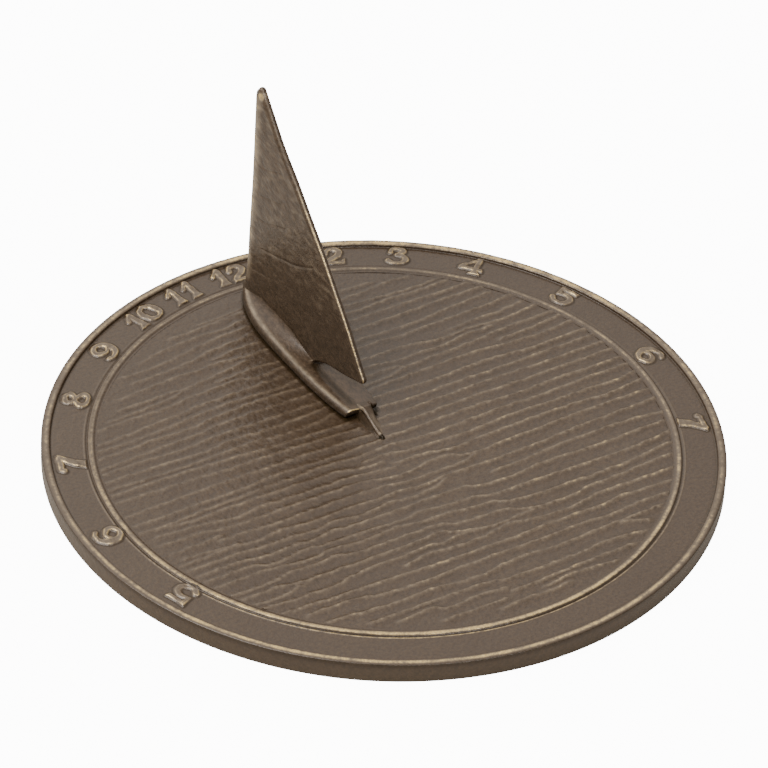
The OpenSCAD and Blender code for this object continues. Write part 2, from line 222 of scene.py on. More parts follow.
def bronze(name, dark, light, pale, coarse, gloss, stretch):
    """Patinated bronze over a sandy casting. A point's colour value goes from -1, dark, past 0, plain
    patina, and 0.4, patina turned pale, to 1, bared to gold. Below 0 it is dark patina in hollows and
    also painted shade; above 0 it is rubbing and also painted highlights."""
    material, tree, metal = node_tree(name)
    here = add(tree, "ShaderNodeTexCoord").outputs["Object"]
    stretched = add(tree, "ShaderNodeVectorMath", {0: here, 1: (1.0, stretch, 1.0)}, operation="MULTIPLY")
    place = stretched.outputs["Vector"]
    cloud = grain(tree, place, 38.0, 4.0, 0.6)
    fleck = grain(tree, place, 1400.0, 2.0, 0.6)
    sand = grain(tree, place, 750.0, 3.0, 0.65)
    worn_and_painted_light = add(tree, "ShaderNodeAttribute", attribute_name="wear_and_painted_light").outputs["Fac"]
    speckle = times(tree, between(tree, cloud, 0.3, 0.7, 0.5, 1.0), between(tree, sand, 0.34, 0.66))
    brown = colours(tree, speckle, dark, light)
    # Below 0 the colour darkens towards the darkest colour: dark patina in hollows, and painted shade.
    brown = colours(tree, between(tree, worn_and_painted_light, 0.0, -1.0), brown, DARK_PATINA_AND_SHADE)
    patchy = between(tree, grain(tree, place, 420.0, 4.0, 0.7), 0.36, 0.62, 0.5, 1.15)
    rubbed_and_painted_light = times(tree, worn_and_painted_light, patchy)
    rubbed_and_painted_light = add(tree, "ShaderNodeClamp", {"Value": rubbed_and_painted_light}).outputs["Result"]
    # Above 0 the patina turns pale and then gold: rubbing, and also painted highlights.
    brown = colours(tree, between(tree, rubbed_and_painted_light, 0.0, 0.4), brown, pale)
    bared = between(tree, rubbed_and_painted_light, 0.35, 0.9)
    gold = colours(tree, between(tree, fleck, 0.3, 0.7), GOLD_DARK, GOLD_LIGHT)
    tree.links.new(colours(tree, bared, brown, gold), metal.inputs["Base Color"])
    tree.links.new(between(tree, bared, 0.0, 1.0, 0.15, 0.9), metal.inputs["Metallic"])
    tree.links.new(between(tree, sand, 0.3, 0.7, 0.28, 0.38), metal.inputs["Roughness"])
    # Below 0 the gloss drops as well, as part of the dark patina and the painted shade.
    tree.links.new(between(tree, worn_and_painted_light, 0.0, -1.0, gloss, 0.12), metal.inputs["Specular IOR Level"])
    polish = add(tree, "ShaderNodeAttribute", attribute_name="polish").outputs["Fac"]
    strength = between(tree, polish, 0.0, 1.0, coarse, 0.05)
    bumps = add(tree, "ShaderNodeBump", {"Height": sand, "Strength": strength, "Distance": BUMP_DEPTH})
    tree.links.new(bumps.outputs["Normal"], metal.inputs["Normal"])
    return material


plate_metal = bronze("plate_bronze", dark=(0.040, 0.022, 0.010), light=(0.078, 0.046, 0.022),
                     pale=(0.170, 0.122, 0.077), coarse=0.5, gloss=0.80, stretch=1.0)
boat_metal = bronze("gnomon_bronze", dark=(0.042, 0.025, 0.013), light=(0.100, 0.063, 0.036),
                    pale=(0.235, 0.180, 0.122), coarse=0.8, gloss=0.52, stretch=0.5)


def steel(name):
    material, tree, metal = node_tree(name)
    place = add(tree, "ShaderNodeTexCoord").outputs["Object"]
    scratches = grain(tree, place, 2500.0)
    metal.inputs["Base Color"].default_value = (0.55, 0.54, 0.52, 1)
    metal.inputs["Metallic"].default_value = 1.0
    tree.links.new(between(tree, scratches, 0.3, 0.7, 0.28, 0.42), metal.inputs["Roughness"])
    return material


fastener_steel = steel("fastener_steel")

# Hour numerals: pen strokes of [x, y, width] and filled outlines, about their own centre
FIGURES = {
    "0": [("pen", [(0, 4.3, 1.7), (-2.7, 2.9, 2.3), (-3.3, 0, 2.9), (-2.6, -3, 2.3), (0, -4.3, 1.7),
                   (2.7, -3, 2.3), (3.3, 0, 2.9), (2.6, 2.9, 2.3), (0, 4.3, 1.7)])],
    "1": [("pen", [(0.6, 4.4, 2.2), (0.5, 0, 2.5), (0.3, -3.4, 2.6)]),
          ("pen", [(0.2, 4.2, 2.0), (-1.6, 3.1, 1.5), (-2.5, 1.7, 1.9)]),
          ("shape", [(-0.9, -2.6), (-2.7, -5.2), (2.0, -5.2), (1.6, -2.6)])],
    "2": [("pen", [(-3.0, 2.0, 2.2), (-2.3, 3.8, 1.7), (0, 4.5, 1.6), (2.4, 3.2, 2.6), (1.8, 0.7, 2.8),
                   (-0.8, -1.7, 2.4), (-3.0, -3.7, 1.8)]),
          ("shape", [(-4.2, -5.2), (3.9, -5.2), (4.4, -2.2), (3.3, -2.4), (2.6, -3.5), (-3.9, -3.3)])],
    "3": [("pen", [(-2.8, 2.3, 2.3), (-2.2, 4.2, 1.7), (0.8, 4.5, 1.7), (2.4, 3.2, 2.4), (0.2, 0.9, 1.7)]),
          ("pen", [(-0.4, 0.8, 1.6), (2.2, 0.1, 2.1), (3.3, -2.2, 2.7), (1.4, -4.3, 1.8), (-1.8, -4.4, 1.8),
                   (-3.5, -3.2, 2.2)])],
    "4": [("pen", [(1.6, 4.4, 1.6), (-1.8, 1.6, 1.4), (-4.4, -1.3, 1.5)]),
          ("shape", [(-5.2, -0.9), (-5.0, -2.8), (4.6, -2.8), (4.4, -0.9)]),
          ("shape", [(0.9, 5.2), (3.0, 5.2), (2.9, -3.4), (4.2, -5.2), (-0.5, -5.2), (0.7, -3.4)])],
    "5": [("shape", [(-4.3, 5.2), (-2.6, 5.0), (-2.2, 0.6), (-3.6, 0.0)]),
          ("shape", [(-3.8, 5.0), (4.3, 4.6), (3.9, 2.9), (-2.6, 3.2)]),
          ("pen", [(-3.0, 0.5, 1.4), (0, 1.3, 1.7), (3.0, -0.2, 2.4), (3.1, -2.8, 2.5), (0.8, -4.4, 1.7),
                   (-1.8, -4.4, 1.8), (-3.4, -2.9, 2.3)])],
    "6": [("pen", [(3.6, 3.6, 1.9), (1.4, 4.6, 1.6), (-1.8, 3.6, 2.4), (-3.3, 0.8, 3.1), (-2.8, -2.4, 2.6),
                   (0, -4.4, 1.7), (2.9, -3.2, 2.2), (3.2, -0.9, 2.2), (0.8, 0.9, 1.6), (-1.6, 0.2, 1.5),
                   (-2.8, -1.4, 1.6)])],
    "7": [("pen", [(-4.4, 2.9, 2.1), (-3.6, 3.9, 1.9), (-0.5, 4.0, 1.9), (3.4, 4.5, 1.9)]),
          ("shape", [(5.0, 5.2), (2.4, 4.6), (0.2, 2.4), (-1.6, -0.4), (-3.2, -5.0), (0.9, -5.2),
                     (2.0, -0.6), (3.6, 2.4)])],
    "8": [("pen", [(0, 4.4, 1.5), (-2.4, 3.5, 2.2), (-1.8, 1.3, 2.0), (1.4, -0.3, 1.8), (3.2, -2.2, 2.6),
                   (1.6, -4.2, 1.8), (-1.6, -4.2, 1.9), (-3.4, -2.2, 2.8), (-1.8, -0.1, 1.9),
                   (1.3, 1.2, 1.8), (2.5, 2.9, 2.2), (1.4, 4.2, 1.5), (0, 4.4, 1.5)])],
}
FIGURES["9"] = [(kind, [(-p[0], -p[1], *p[2:]) for p in points]) for kind, points in FIGURES["6"]]


def distance_to_pen(x, y, points):
    """Signed distance to a stroke whose width changes along it."""
    path = curve_through(points, 5)
    best = np.full(x.shape, 1e9)
    for (ax, ay, aw), (bx, by, bw) in zip(path[:-1], path[1:]):
        dx, dy = bx - ax, by - ay
        t = np.clip(((x - ax) * dx + (y - ay) * dy) / (dx * dx + dy * dy + 1e-9), 0, 1)
        gap = np.hypot(x - ax - dx * t, y - ay - dy * t) - (aw + (bw - aw) * t) / 2
        best = np.minimum(best, gap)
    return best


def distance_to_shape(x, y, points):
    """Signed distance to a closed outline, negative inside it."""
    best = np.full(x.shape, 1e9)
    inside = np.zeros(x.shape, bool)
    for (ax, ay), (bx, by) in zip(points, [*points[1:], points[0]]):
        dx, dy = bx - ax, by - ay
        t = np.clip(((x - ax) * dx + (y - ay) * dy) / (dx * dx + dy * dy + 1e-9), 0, 1)
        best = np.minimum(best, np.hypot(x - ax - dx * t, y - ay - dy * t))
        if ay != by:
            inside ^= ((ay > y) != (by > y)) & (x < dx * (y - ay) / dy + ax)
    return np.where(inside, -best, best)


def distance_to_figure(x, y, figure):
    """Signed distance to one figure, whose strokes are all a little bolder than drawn."""
    best = np.full(x.shape, 1e9)
    for kind, points in FIGURES[figure]:
        reach = distance_to_pen if kind == "pen" else distance_to_shape
        best = np.minimum(best, reach(x, y, points))
    return best - BOLD


# Hours from noon, what stands there, how far it sits clockwise of its hour line, and how far inwards
LATITUDE = math.radians(42)
HOURS = [(-7, "5", 2.0, 0.0), (-6, "6", -0.5, 0.0), (-5, "7", -1.0, 0.0), (-4, "8", -1.0, 0.0),
         (-3, "9", -0.6, 0.0), (-2, "10", 0.0, 0.0), (-1, "11", -0.6, 0.0), (0, "12", 0.4, 0.0),
         (1, "1", 0.0, 0.0), (2, "2", 0.5, 0.0), (3, "3", -0.2, 0.0), (4, "4", -1.8, 0.0),
         (5, "5", -0.8, 0.0), (6, "6", 2.7, 0.7), (7, "7", 2.6, 0.7)]
RELIEF = 0.8
FIGURE_STEP = 7.8
BOLD = 0.35
NUMERAL_HALF_W = 11
NUMERAL_HALF_H = 7

# The numerals' circle sits a little off the band's middle, outwards on this side
DRIFT = 0.9
DRIFT_AZIMUTH = math.radians(33)


def numerals(x, y):
    """Relief of the hour numerals, and their colour value: edges bared to gold by rubbing and partly as a
    painted highlight, and a dark outline of patina and painted shade.
    """
    height = np.zeros(x.shape)
    worn_and_painted_light = np.zeros(x.shape)
    shake_x, shake_y = 0.22 * noise(x, y, 2.1, 41), 0.22 * noise(x, y, 2.1, 42)
    melt = 0.85 + 0.3 * noise(x, y, 3.0, 43) + 0.12 * noise(x, y, 1.1, 44)
    for hours, text, shift, inward in HOURS:
        angle = math.atan2(math.sin(LATITUDE) * math.sin(math.radians(15 * hours)),
                           math.cos(math.radians(15 * hours)))
        across = x * math.cos(angle) - y * math.sin(angle) - shift
        middle = BAND_R + DRIFT * math.cos(angle - DRIFT_AZIMUTH) - inward
        outward = x * math.sin(angle) + y * math.cos(angle) - middle
        near = (np.abs(across) < NUMERAL_HALF_W) & (np.abs(outward) < NUMERAL_HALF_H)
        u, v = across[near], outward[near]
        gap = np.full(u.shape, 1e9)
        for k, figure in enumerate(text):
            side = (k - (len(text) - 1) / 2) * FIGURE_STEP
            gap = np.minimum(gap, distance_to_figure(u - side + shake_x[near], v + shake_y[near], figure))
        rise = smooth(0.25, -0.75, gap)
        height[near] = np.maximum(height[near], RELIEF * rise * melt[near])
        # Each figure's edge is bared to gold, partly rubbing and partly a painted highlight; the dark outline
        # just outside is dark patina and also painted shade.
        edge = 0.31 + 0.46 * bump(gap, -0.5, 0.35)
        hollow = -0.5 * bump(gap, 0.35, 0.3)
        shine = smooth(0.3, 0.8, rise) * edge * melt[near]
        worn_and_painted_light[near] = np.where(gap < 0.1, shine, np.minimum(worn_and_painted_light[near], hollow))
    return height, worn_and_painted_light


# Crests of the cast water ripples: each line is a list of (x, y) from west to east
CRESTS = [
    [(-25, 96.5), (-15, 97.2), (-8, 98)],
    [(-39, 93.8), (-28, 94.2), (-18, 95), (-8, 96)],
    [(-56, 85.8), (-50, 87.9), (-40, 89.2), (-30, 90), (-18, 89.6), (-12, 91)],
    [(-67, 80.8), (-57, 80.8), (-47, 81.7), (-37, 83.8), (-30, 85), (-20, 86.3), (-11, 86.7)],
    [(-65, 75.8), (-52, 76.3), (-38, 77.9), (-30, 80), (-20, 80.8), (-12, 82)],
    [(-30, 74.6), (-22, 76), (-12, 76.4)],
    [(-75, 69.6), (-60, 70.8), (-47, 71.7), (-40, 71.3), (-30, 72), (-20, 70.8), (-11, 70.8)],
    [(-77, 63.3), (-60, 64.2), (-50, 63.8), (-40, 65), (-30, 66.7), (-22, 68)],
    [(-84, 59), (-70, 59.8), (-60, 60.6), (-50, 63.2)],
    [(-35, 61.7), (-22, 62.9), (-11, 62.3)],
    [(-90, 56.3), (-77, 56.8), (-60, 56.7), (-52, 58.3), (-40, 58.8), (-30, 59.2), (-22, 57.1),
     (-11, 58.3)],
    [(-95, 48.7), (-80, 49.2), (-70, 50.2), (-60, 50.9), (-50, 52.3), (-38, 52.5), (-22, 52.9),
     (-11, 53.8)],
    [(-98, 45.3), (-85, 45.1), (-75, 45.5), (-65, 46), (-50, 47.8), (-40, 48.3), (-28, 47.8), (-18, 47.4),
     (-9, 48.8)],
    [(-99, 41.2), (-85, 41.2), (-77, 42), (-60, 41.6), (-50, 43), (-40, 43.8), (-30, 44.5), (-10, 44)],
    [(-101, 35.3), (-85, 36.2), (-72, 37), (-60, 37.2), (-50, 38.3), (-40, 38.7), (-30, 39), (-9, 38.7)],
    [(-102, 32.4), (-85, 32.7), (-75, 31.8), (-60, 32.7), (-50, 33.2), (-40, 32.8), (-27, 33), (-9, 32.8)],
    [(-103, 27.8), (-90, 27.8), (-75, 27.4), (-60, 27), (-50, 28.2), (-40, 27.8), (-27, 27.8), (-8, 28.6)],
    [(-104, 23.7), (-90, 22.8), (-60, 22.8), (-50, 23.3), (-40, 23.7), (-35, 22.4), (-20, 22.4),
     (-8, 24.2)],
    [(-105, 20), (-78, 20), (-60, 19), (-50, 18.7), (-40, 17.8), (-25, 17.4), (-7, 16.8)],
    [(-105, 15.6), (-80, 14.9), (-60, 13.7), (-40, 13.7), (-25, 13.2), (-5, 12.2)],
    [(-105, 7), (-90, 7.4), (-75, 7.8), (-40, 7.8), (-25, 7.8), (-2, 6.9)],
    [(-105, 0.8), (-75, 1.2), (-60, 1.3), (-50, 2.4), (-40, 2.8), (-25, 2), (-2, 2.3)],
    [(-105, -3.4), (-97, -4), (-80, -3), (-60, -2.2), (-40, -1.8), (-28, -0.9), (-15, -2.2), (0, -1.8),
     (15, -3.4), (30, -3), (50, -2.2), (65, -2.6), (85, -1.9), (105, -1.7)],
    [(15, 48.3), (25, 47.8), (40, 47.7), (50, 45.3), (65, 46), (80, 44.9), (94, 46.8)],
    [(13, 42.8), (22, 42.7), (30, 41.2), (40, 41.8), (50, 41.2), (60, 42.8), (72, 43.4)],
    [(13, 38.3), (26, 38.3), (31, 36.6)],
    [(12, 33.7), (22, 34.1), (30, 36.2), (40, 36.8), (60, 37.8), (65, 38.3), (80, 39.7), (101, 40.4)],
    [(74, 34.4), (90, 35.3), (102, 37)],
    [(10, 29.9), (20, 31.2), (40, 31.6), (50, 32.2), (60, 32), (80, 30.2), (90, 30.2), (103, 31.6)],
    [(9, 25.6), (25, 25.3), (40, 24.7), (50, 25.5), (65, 25.3), (80, 24.1), (105, 24.9)],
    [(7, 19.3), (25, 18.7), (40, 19.3), (60, 19.3), (80, 19.7), (105, 19.9)],
    [(6, 13.7), (20, 13.5), (40, 14.1), (60, 14.5), (80, 14.1), (105, 14.5)],
    [(4, 8.8), (20, 7.8), (30, 8.5), (50, 8.8), (65, 8.3), (80, 8.7), (105, 8.9)],
    [(3, 2.7), (20, 2.8), (40, 3.4), (60, 2.4), (80, 3.2), (105, 2.8)],
    [(60, 49), (72, 50), (80, 49.7), (91, 51.4)],
    [(18, 54.6), (30, 55), (40, 54.2), (52, 55), (65, 55.2), (80, 55.8), (90, 57.3)],
    [(19, 59.7), (30, 59.3), (50, 59.2), (65, 60.8), (83, 62.4)],
    [(23, 65.7), (40, 66), (55, 66.3), (65, 66.7), (82, 66.9)],
    [(25, 71.2), (40, 71.7), (50, 71.7), (65, 71.3), (80, 71.7)],
    [(27, 76.3), (40, 76.3), (50, 77), (60, 76.3), (72, 76.8)],
    [(29, 80.8), (40, 80), (60, 78.8), (70, 79.4)],
    [(31, 85), (42, 85.4), (52, 87), (60, 86.3)],
    [(33, 90.4), (45, 89.8)],
    [(-105, -3.9), (-95, -4.3), (-87, -6.2), (-75, -5.8), (-60, -5.7), (-50, -6), (-27, -6.2), (-18, -8.3),
     (-9, -9.4)],
    [(-12, -6.2), (-3, -6), (5, -7.9), (20, -8.3), (30, -8.8), (40, -8.2), (50, -7.5), (80, -7.9),
     (97, -8.3), (105, -7.1)],
    [(-101, -8.3), (-90, -9.3), (-80, -10.4), (-70, -12), (-60, -10.4), (-50, -11.2), (-22, -11.7),
     (-15, -12.5), (-5, -14)],
    [(-2, -12), (10, -12.3), (15, -13.8), (22, -14.6), (30, -13.8), (50, -13.2), (65, -12.9), (80, -13.3),
     (90, -14.2), (105, -12.5)],
    [(-102, -12.9), (-92, -13.7), (-87, -13.3), (-77, -15.4), (-60, -15.8), (-50, -15.4), (-25, -15.8),
     (-17, -16.7), (-10, -18.3), (-3, -19.2), (7, -17.3), (17, -17.5), (22, -20), (30, -20.4), (60, -19.3),
     (77, -18.5), (103, -18.9)],
    [(-100, -19.2), (-82, -18.4)],
    [(-98, -23.5), (-88, -24.2), (-79, -25.4)],
    [(-81, -20.6), (-70, -21), (-60, -21.7), (-40, -21.2), (-25, -21.2), (-15, -21.8), (-7, -23.3),
     (0, -23.5), (17, -23.5), (25, -21.8), (30, -20.8)],
    [(-100, -26.5), (-80, -25.8), (-70, -27.1), (-60, -25.4), (-50, -27.1), (-35, -26.5), (-17, -27.1),
     (-10, -26.7), (0, -28.3), (10, -27.1), (30, -27.5), (50, -27.1), (60, -26), (80, -25.4), (103, -24.8)],
    [(-99, -30), (-80, -30), (-72, -31), (-60, -30.8), (-50, -31.7), (-40, -30.4), (-30, -32), (-17, -30.8),
     (-7, -32), (3, -30.8), (8, -28.6)],
    [(28, -33), (42, -32.7), (52, -31.5), (77, -31.2), (90, -31.5), (101, -32.9)],
    [(-98, -34.3), (-82, -34.2), (-75, -35.8), (-60, -35.4), (-52, -36.2), (-44, -34.8), (-35, -35.8),
     (0, -35.8), (12, -36), (17, -37.9), (30, -39), (40, -37.9), (52, -37.5), (65, -38.3), (97, -37.9)],
    [(-97, -38.3), (-80, -38.3), (-72, -40.8), (-57, -39.2), (-50, -40.4), (-35, -40.8), (-17, -41.7),
     (-10, -40.4), (0, -42.1), (12, -42.5), (20, -44.6), (40, -45), (52, -45.4), (80, -45.7), (97, -44)],
    [(-96, -42.8), (-74, -42.7), (-60, -45), (-50, -43.8), (-37, -45), (-25, -44.2), (-15, -45.4),
     (0, -46.3), (10, -47.9), (17, -48.2), (20, -50), (30, -52.1), (60, -52.5), (75, -52.1), (92, -50)],
    [(-93, -49.2), (-77, -49.2), (-69, -47.5), (-60, -48.2), (-50, -47.5), (-42, -49.6), (-15, -49.8),
     (-7, -50.4), (-2, -52.5), (10, -53.3), (18, -54.2), (23, -56.8), (31, -58.8)],
    [(-91, -52.7), (-77, -52.5), (-70, -54.2), (-50, -54.6), (-22, -54.6), (-10, -53.8), (-5, -56.6),
     (2, -58.6)],
    [(-88, -60.3), (-77, -61.3), (-60, -61.8), (-52, -60.3), (-40, -59), (-27, -59.3), (-17, -58.3),
     (-12, -60), (-5, -58.3), (2, -58.7), (12, -60), (30, -59), (45, -59), (52, -57.4), (65, -57),
     (88, -55.7)],
    [(-88, -57.3), (-78, -57.6), (-70, -56)],
    [(-29, -64), (-20, -62.4), (-7, -63.7), (5, -63.3), (15, -61.6), (25, -63.7), (40, -64.5), (50, -62.8),
     (60, -62.4), (85, -62.8)],
    [(-82, -66), (-60, -67.2), (-40, -67.8), (-20, -68.7), (10, -69.1), (40, -68.5), (50, -69.1),
     (60, -67.8), (80, -68.8)],
    [(-74, -70.8), (-57, -71.3), (-47, -73.7), (-40, -74.3), (-25, -74.9), (-10, -74.1), (20, -74.7),
     (40, -74.1), (50, -74.9), (65, -73.7), (75, -74.5)],
    [(-71, -77.4), (-57, -78.7), (-45, -79.9), (-32, -79.5), (-17, -81), (-7, -81.6), (0, -80.3),
     (10, -79.5), (25, -80.8), (40, -79.9), (68, -79)],
    [(52, -80.3), (60, -84)],
    [(-57, -85), (-40, -85.3), (-12, -85.8), (0, -87.8), (30, -87.7), (40, -86.8), (55, -88.5)],
    [(-48, -89), (-35, -88.7), (-30, -91.2), (-17, -90.3), (-7, -91.2)],
    [(-3, -94), (15, -93.7), (30, -92.8), (47, -92.6)],
    [(-34, -96), (-10, -96.6)],
    [(8, -97.4), (20, -96.2), (36, -97.8)],
    [(-12, -100.3), (-2, -99.7), (5, -100.3), (15, -99.9)],
]
CREST_H = 0.5
STERN = 17.9
BOW = 107.0
HALF_BEAM = 9.4
BOW_TAPER_Y = 60
STERN_TAPER_Y = 57
STERN_TAPER_L = 39
STERN_TAPER = 2.8


def half_beam(y):
    """Half the hull's width at y, which tapers to a point ahead and to the transom behind."""
    ahead = np.clip((y - BOW_TAPER_Y) / (BOW - BOW_TAPER_Y), 0, 1)
    behind = np.clip((STERN_TAPER_Y - y) / STERN_TAPER_L, 0, None)
    return HALF_BEAM * (1 - ahead ** 3.4) - STERN_TAPER * behind ** 2.6


def beside_hull(x, y):
    """How far a point of the field lies outside the hull's outline."""
    return np.maximum(np.abs(x) - half_beam(np.clip(y, STERN, BOW)), np.maximum(STERN - y, y - BOW))


def pocket_with_painted_shade(x, y):
    """Where the hollow under the transom's starboard corner lies: the field dips there, and its colour is
    darkened there as painted shade.
    """
    return bump(x, 5.0, 1.3) * bump(y, 16.8, 1.6) + bump(x, 7.3, 0.9) * bump(y, 19.0, 2.0)


def field_level(radius):
    """The water's mean height: a shallow dish that rises towards the inner ring."""
    return FIELD_Z + 0.65 * smooth(70, 106, radius)


# The crests were placed on a flat field. A raised point of it looks VIEW_SLOPE farther for each mm.
CREST_SHIFT = 0.40
VIEW_SLOPE = 1.065
CREST_FADE = 4.0


def ripples(x, y):
    """Height of the water above its mean level, and its colour value: crest tops bared by rubbing and given a
    painted glint, painted shade beside each crest, and painted shadow along the hull and under the transom's
    starboard corner.
    """
    height = np.zeros(x.shape)
    rubbed_and_painted_light = np.zeros(x.shape)
    radius = np.hypot(x, y)
    drawn_y = y + CREST_SHIFT + VIEW_SLOPE * (field_level(radius) - FIELD_Z)
    across = x[0]
    for seed, points in enumerate(CRESTS):
        line = curve_through(points, 6)
        low, high = line[0, 0] - CREST_FADE, line[-1, 0] + CREST_FADE
        near = np.flatnonzero((across > low) & (across < high))
        at = across[near]
        middle = np.interp(at, line[:, 0], line[:, 1])
        middle = middle + 0.3 * noise(at, 0 * at, 2.6, 100 + seed) + 0.14 * noise(at, 0 * at, 1.1, 200 + seed)
        power = np.clip(0.8 + 0.3 * noise(at, 0 * at, 6.0, 300 + seed), 0.35, 1.1)
        power = power * smooth(0, CREST_FADE, at - low) * smooth(0, CREST_FADE, high - at)
        beside = drawn_y[:, near] - middle
        wide = np.where(beside > 0, 1.25, 1.9)
        crest = power * (0.35 * np.exp(-(beside / 0.55) ** 2) + 0.65 * np.exp(-(beside / wide) ** 2))
        height[:, near] = np.maximum(height[:, near], crest)
        # Each crest's top is lightened, bared by rubbing and also a painted glint; the negative term paints a
        # shade line on the north side of each crest.
        shine = power * (np.exp(-((beside + 0.15) / 0.8) ** 2) - 0.5 * np.exp(-((beside - 1.7) / 0.8) ** 2))
        rubbed_and_painted_light[:, near] = np.where(np.abs(shine) > np.abs(rubbed_and_painted_light[:, near]), shine, rubbed_and_painted_light[:, near])
    calm = smooth(107.9, 107.0, radius)
    lumps = 0.05 * noise(x, y, 3.4, 5) + 0.05 * noise(x, y, 1.3, 7) + 0.05 * noise(x, y, 11, 6)
    # glint scales the painted glint on the crest tops.
    glint = np.clip(0.30 + 0.12 * noise(x, y, 8, 8) + 0.22 * noise(x, y, 1.2, 9), 0.05, 1)
    worn_and_painted_light = rubbed_and_painted_light * calm * np.where(rubbed_and_painted_light > 0, glint, 0.3)
    # Painted contact shadow along the hull's foot, and painted shade under the transom's starboard corner.
    worn_and_painted_light = worn_and_painted_light - 0.6 * smooth(1.0, 0.2, beside_hull(x, y)) - 0.9 * pocket_with_painted_shade(x, y)
    lumps = lumps - 0.5 * pocket_with_painted_shade(x, y)
    swell = np.clip(1 + 0.0028 * (x - y), 0.65, 1.3)
    return (CREST_H * height - 0.15) * calm * swell + lumps, worn_and_painted_light * np.where(worn_and_painted_light > 0, swell, 1)


def circle(radius, count, y=0.0):
    turn = np.arange(count) * 2 * math.pi / count
    return np.stack([radius * np.cos(turn), y + radius * np.sin(turn)], -1)


# Dial plate
plate = Skin()

FIELD_STEP = 0.4
count = int(2 * FIELD_R / FIELD_STEP) + 1
side = np.linspace(-FIELD_R, FIELD_R, count)
gx, gy = np.meshgrid(side, side)
lift, worn_and_painted_light = ripples(gx, gy)
inside = np.hypot(gx, gy) <= FIELD_R
number = np.full(gx.shape, -1)
number[inside] = np.arange(inside.sum())
corners = np.stack([number[:-1, :-1], number[:-1, 1:], number[1:, 1:], number[1:, :-1]], -1)
corners = corners[(corners >= 0).all(-1)]
field = np.stack([gx[inside], gy[inside], (field_level(np.hypot(gx, gy)) + lift)[inside]], -1)
plate.loose(field, corners.tolist(), worn_and_painted_light[inside])

# Ring and band: rr is each point's distance from the centre and tt its azimuth from north
# RING_SHINE points to the ring's front side, where its painted highlights and shade lines are strongest.
RING_SHINE = math.radians(208)
BAND_WEST = 0.25
turns = 2880
turn = np.arange(turns) * 2 * math.pi / turns
radius = np.concatenate([np.arange(106.9, 112.8, 0.13), np.arange(112.8, 123.2, 0.24),
                         np.arange(123.2, RIM_R, 0.13)])
rr, tt = np.meshgrid(radius, turn, indexing="ij")
x, y = rr * np.sin(tt), rr * np.cos(tt)
level = BAND_Z + 0.03 * noise(x, y, 2.2, 11) + 0.05 * noise(x, y, 12, 12)
level = level - 0.05 * smooth(108.2, 107.4, rr)
ring = smooth(107.5, 108.7, rr) * smooth(110.6, 110.2, rr)
level = level + (RING_Z + 0.12 * bump(rr, RING_R, 0.6) - BAND_Z) * ring
front_side = 0.5 + 0.5 * np.cos(tt - RING_SHINE)
level = level - (0.12 + 0.2 * front_side ** 2) * bump(rr, GROOVE_R, 0.3)
level = level + (0.04 + 0.15 * front_side ** 2) * bump(rr, 111.75, 0.35)
level = level + 0.5 * smooth(123.4, 123.65, rr) - 0.06 * bump(rr, 123.1, 0.3)
raised, rubbed_and_painted_light = numerals(x, y)
level = level + raised * smooth(123.5, 123.1, rr) * smooth(110.9, 111.5, rr)
# The ring's top is bared to gold, far more on its front side: rubbing and also a painted highlight.
gold = (0.2 + 1.3 * front_side ** 3) * bump(rr, RING_R, 0.6) + 0.45 * bump(rr, 109.0, 0.5)
gold = gold * (0.85 + 0.3 * noise(x, y, 5, 13))
# The groove outside the ring is darkened, most on the front side: painted shade, with a little dark patina
# all round.
gold = gold - (0.15 + 0.75 * front_side ** 2) * bump(rr, GROOVE_R, 0.28)
# A painted highlight on the lip outside the groove, on the front side.
gold = gold + 0.7 * front_side ** 2 * bump(rr, 111.8, 0.28)
# The band's outer edge at the rim's foot is darkened, more on the front side: painted shade with a little
# dark patina.
gold = gold - (0.2 + 0.3 * front_side) * bump(rr, 123.4, 0.2)
gold = np.where(np.abs(rubbed_and_painted_light) > 0.02, rubbed_and_painted_light, gold)
x = x - BAND_WEST * inside_rim(rr)
plate.patch(np.stack([x, y, level], -1), np.clip(gold, -1, 1.2), around=True)

# Rim's rounded bead, skirt and the ring that it stands on
RIM_SHINE = math.radians(213)
BEAD_R = 125.25
BEAD_HALF = 1.65
BEAD_FOOT = -0.3
BEAD_H = 0.75
BEAD_FULLNESS = 0.65
WEB_R = 119.8
profile = []
for a in np.linspace(0, math.pi, 26):
    out = math.copysign(abs(math.cos(a)) ** BEAD_FULLNESS, math.cos(a))
    profile.append((BEAD_R - BEAD_HALF * out, BEAD_FOOT + BEAD_H * math.sin(a) ** BEAD_FULLNESS))
profile += [(PLATE_R - 0.06 + 0.03 * t, -0.35 - (RIM_TOP - 0.75) * t) for t in np.linspace(0.05, 1, 13)]
profile += [(126.8, -RIM_TOP + 0.12), (126.5, -RIM_TOP), (122.6, -RIM_TOP), (122.3, -RIM_TOP + 0.15),
            (WEB_R, WEB_Z)]
profile = np.array(profile)
rr, tt = np.meshgrid(profile[:, 0], turn, indexing="ij")
x, y = rr * np.sin(tt), rr * np.cos(tt)
z = np.repeat(profile[:, 1:], turns, 1)
grit = 0.03 * (noise(tt * 127, z, 2.0, 14) - 1) * smooth(0.2, -0.6, z) * smooth(-7.4, -6.8, z)
dents = 0.05 * noise(tt * 127, 0 * z, 3.0, 16) * smooth(-0.3, 0.2, z)
# RIM_SHINE points to the rim's front side.
facing = np.cos(tt - RIM_SHINE)
far_side = 0.5 - 0.5 * facing
# The bead's crest is bared to gold, strongest on the front and back and weakest at the sides: rubbing and
# also a painted highlight.
gold = bump(rr, 125.15 - 0.3 * far_side, 0.75 + 0.3 * far_side) * smooth(-0.25, 0.0, z)
gold = gold * (0.5 + 0.75 * facing ** 2) * (0.85 + 0.3 * noise(x, y, 6, 15))
